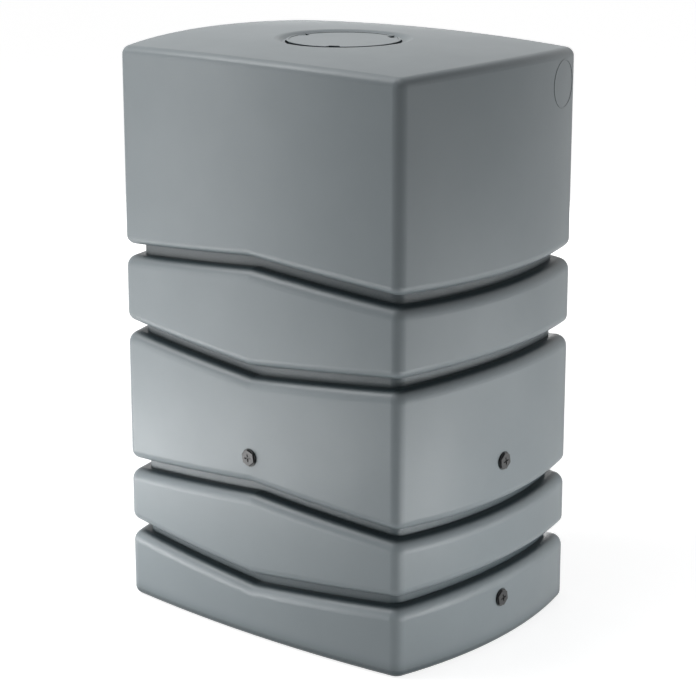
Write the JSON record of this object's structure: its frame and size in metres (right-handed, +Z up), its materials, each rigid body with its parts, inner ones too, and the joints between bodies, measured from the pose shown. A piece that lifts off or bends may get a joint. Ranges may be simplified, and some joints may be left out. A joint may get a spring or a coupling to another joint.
{
  "type": "rainwater tank",
  "caption": "Upright rainwater tank with wavy grooved bands, a screw lid recessed in its crowned top, and threaded ports closed by hexagon plugs.",
  "frame": {"origin": "on the floor under the middle of the body, at the centre of its base face", "axes": "+Z up; the wide front with the middle port faces -Y; the side with two ports faces +X"},
  "size_m": [0.8816, 0.6746, 1.2984],
  "materials": {
    "tank_plastic": "satin grey polyethylene, as blown from the mould",
    "lid_plastic": "satin grey polyethylene, injection moulded",
    "seal_rubber": "soft black rubber",
    "bush_brass": "plain turned brass",
    "plug_plastic": "black moulded plastic"
  },
  "bodies": {
    "tank": {"tank_body": "tank_plastic", "front_port_bush": "bush_brass", "side_port_bush": "bush_brass", "drain_port_bush": "bush_brass"},
    "lid_seal": {"lid_seal": "seal_rubber"},
    "lid": {"lid": "lid_plastic"},
    "front_port_seal": {"front_port_seal": "seal_rubber"},
    "front_port_plug": {"front_port_plug": "plug_plastic"},
    "side_port_seal": {"side_port_seal": "seal_rubber"},
    "side_port_plug": {"side_port_plug": "plug_plastic"},
    "drain_port_seal": {"drain_port_seal": "seal_rubber"},
    "drain_port_plug": {"drain_port_plug": "plug_plastic"}
  },
  "joints": [
    {"name": "lid_lift", "type": "slide", "parent": "tank", "child": "lid_seal", "axis": [0, 0, 1], "range_m": [0, 0.3]},
    {"name": "lid_turn", "type": "hinge", "parent": "lid_seal", "child": "lid", "pos_m": [0, -0.013, 1.291], "axis": [0, 0, 1], "range_deg": [0, 810]},
    {"name": "front_plug_out", "type": "slide", "parent": "tank", "child": "front_port_seal", "axis": [0, -1, 0], "range_m": [0, 0.0145]},
    {"name": "front_plug_turn", "type": "hinge", "parent": "front_port_seal", "child": "front_port_plug", "pos_m": [0, -0.334, 0.42], "axis": [0, -1, 0], "range_deg": [0, 2780]},
    {"name": "side_plug_out", "type": "slide", "parent": "tank", "child": "side_port_seal", "axis": [1, 0, 0], "range_m": [0, 0.0145]},
    {"name": "side_plug_turn", "type": "hinge", "parent": "side_port_seal", "child": "side_port_plug", "pos_m": [0.4375, 0, 0.42], "axis": [1, 0, 0], "range_deg": [0, 2780]},
    {"name": "drain_plug_out", "type": "slide", "parent": "tank", "child": "drain_port_seal", "axis": [1, 0, 0], "range_m": [0, 0.0145]},
    {"name": "drain_plug_turn", "type": "hinge", "parent": "drain_port_seal", "child": "drain_port_plug", "pos_m": [0.4375, 0, 0.1045], "axis": [1, 0, 0], "range_deg": [0, 2780]}
  ],
  "couplings": [
    {"joint": "front_plug_out", "follows": "front_plug_turn", "m_per_rad": 0.00028871},
    {"joint": "side_plug_out", "follows": "side_plug_turn", "m_per_rad": 0.00028871},
    {"joint": "drain_plug_out", "follows": "drain_plug_turn", "m_per_rad": 0.00028871}
  ]
}
